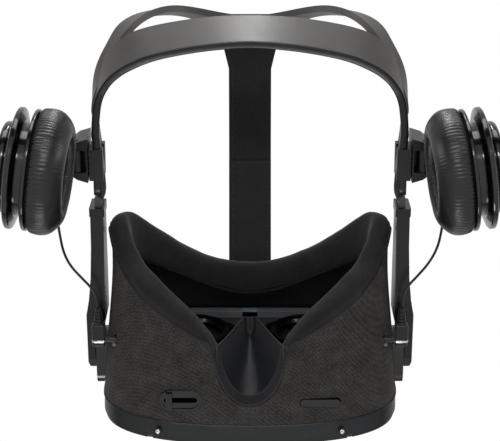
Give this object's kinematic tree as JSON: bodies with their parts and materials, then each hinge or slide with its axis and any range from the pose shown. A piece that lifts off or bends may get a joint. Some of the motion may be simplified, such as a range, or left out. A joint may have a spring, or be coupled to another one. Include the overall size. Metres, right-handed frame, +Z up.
{
  "type": "vr headset",
  "caption": "Head-worn display with a cloth-wrapped visor, foam face seat, tilting side arms, sliding forked rear band, top strap and clip-on headphones.",
  "frame": {"origin": "midway between the wearer's eyes, at the face seat", "axes": "+X wearer's left, +Y towards the back of the head, +Z up"},
  "size_m": [0.2816, 0.2432, 0.1813],
  "materials": {
    "satin_plate": "satin moulded plastic",
    "rim_plastic": "satin moulded plastic",
    "woven_wrap": "woven polyester bonded to the shell",
    "inner_plastic": "fine textured black",
    "knit_foam": "knitted cloth over foam",
    "soft_rubber": "soft matte",
    "grey_bar": "satin grey",
    "camera_body": "black",
    "camera_glass": "polished",
    "circuit_board": "solder resist",
    "foil_pack": "foil",
    "bare_steel": "machined",
    "gear_plastic": "acetal",
    "gloss_black": "polished",
    "light_pipe": "clear",
    "strap_webbing": "woven elastic",
    "arm_plastic": "fine textured gloss",
    "speaker_unit": "driver",
    "band_plastic": "satin soft-touch",
    "clip_plastic": "satin",
    "block_plastic": "satin",
    "plug_rubber": "moulded with a bright line",
    "lead_jacket": "smooth",
    "lens_glass": "polished",
    "display_glass": "polished",
    "baffle_cloth": "speaker cloth",
    "cushion_leather": "smooth imitation leather"
  },
  "bodies": {
    "visor": {"front_plate": "satin_plate", "front_rim": "rim_plastic", "fabric_wrap": "woven_wrap", "visor_shell": "inner_plastic", "face_frame": "inner_plastic", "face_foam": "knit_foam", "nose_flap": "soft_rubber", "lens_panel": "inner_plastic", "sensor_bar": "grey_bar", "tracking_cameras": "camera_body", "camera_windows": "camera_glass", "main_board": "circuit_board", "battery": "foil_pack", "fan_housing": "inner_plastic", "pinion_post": "bare_steel", "ipd_track": "gloss_black", "usb_port": "bare_steel", "status_led": "light_pipe", "jack_sockets": "bare_steel", "plug_left": "plug_rubber", "plug_right": "plug_rubber", "lead_left": "lead_jacket", "lead_right": "lead_jacket", "pivot_mounts": "gloss_black", "pivot_pins": "bare_steel", "strap_anchor": "rim_plastic", "top_strap_front": "strap_webbing", "shell_screws": "bare_steel"},
    "arms": {"arm_left": "arm_plastic", "arm_right": "arm_plastic", "arm_speakers": "speaker_unit", "arm_collars": "arm_plastic"},
    "band": {"rear_band": "band_plastic", "headphone_clips": "clip_plastic", "hinge_blocks": "block_plastic", "swing_pins": "bare_steel", "top_strap_rear": "strap_webbing"},
    "slider": {"ipd_knob": "gloss_black"},
    "pinion": {"ipd_pinion": "gear_plastic"},
    "rocker": {"volume_rocker": "gloss_black"},
    "button": {"power_button": "gloss_black"},
    "rotor": {"fan_rotor": "inner_plastic"},
    "cup_left": {"cup_bracket_left": "block_plastic", "cup_base_left": "gloss_black", "cup_cover_left": "gloss_black", "cup_baffle_left": "baffle_cloth", "ear_cushion_left": "cushion_leather", "driver_left": "speaker_unit"},
    "eye_left": {"lens_ring_left": "gloss_black", "lens_left": "lens_glass", "display_left": "display_glass"},
    "cup_right": {"cup_bracket_right": "block_plastic", "cup_base_right": "gloss_black", "cup_cover_right": "gloss_black", "cup_baffle_right": "baffle_cloth", "ear_cushion_right": "cushion_leather", "driver_right": "speaker_unit"},
    "eye_right": {"lens_ring_right": "gloss_black", "lens_right": "lens_glass", "display_right": "display_glass"}
  },
  "joints": [
    {"name": "arm_tilt", "type": "hinge", "parent": "visor", "child": "arms", "pos_m": [0, -0.058, -0.004], "axis": [1, 0, 0], "range_deg": [-8, 20], "deforming": ["lead_left", "lead_right", "top_strap_front", "top_strap_rear"]},
    {"name": "band_slide", "type": "slide", "parent": "arms", "child": "band", "axis": [0, 1, 0], "range_m": [-0.004, 0.016], "deforming": ["lead_left", "lead_right", "top_strap_front", "top_strap_rear"]},
    {"name": "cup_swing_left", "type": "hinge", "parent": "band", "child": "cup_left", "pos_m": [0.101, 0.0655, -0.008], "axis": [0, -1, 0], "range_deg": [-10, 30], "deforming": ["lead_left"]},
    {"name": "cup_swing_right", "type": "hinge", "parent": "band", "child": "cup_right", "pos_m": [-0.101, 0.0655, -0.008], "axis": [0, 1, 0], "range_deg": [-10, 30], "deforming": ["lead_right"]},
    {"name": "eye_distance", "type": "slide", "parent": "visor", "child": "slider", "axis": [-1, 0, 0], "range_m": [0, 0.014]},
    {"name": "eye_left_slide", "type": "slide", "parent": "visor", "child": "eye_left", "axis": [-1, 0, 0], "range_m": [0, 0.007]},
    {"name": "eye_right_slide", "type": "slide", "parent": "visor", "child": "eye_right", "axis": [1, 0, 0], "range_m": [0, 0.007]},
    {"name": "pinion_spin", "type": "hinge", "parent": "visor", "child": "pinion", "pos_m": [0, -0.0565, 0.033], "axis": [0, -1, 0], "range_deg": [0, 80.3]},
    {"name": "volume_rock", "type": "hinge", "parent": "visor", "child": "rocker", "pos_m": [-0.0411, -0.0701, -0.0476], "axis": [0, 1, 0], "range_deg": [-2.5, 2.5], "stiffness_Nm_per_rad": 0.05},
    {"name": "power_press", "type": "slide", "parent": "visor", "child": "button", "axis": [1, 0, 0], "range_m": [0, 0.0006], "stiffness_N_per_m": 400},
    {"name": "fan_spin", "type": "hinge", "parent": "visor", "child": "rotor", "pos_m": [0, -0.0815, -0.014], "axis": [0, 1, 0], "continuous": true}
  ],
  "couplings": [
    {"joint": "eye_left_slide", "follows": "eye_distance", "ratio": 0.5},
    {"joint": "eye_right_slide", "follows": "eye_distance", "ratio": 0.5},
    {"joint": "pinion_spin", "follows": "eye_distance", "rad_per_m": 100}
  ]
}
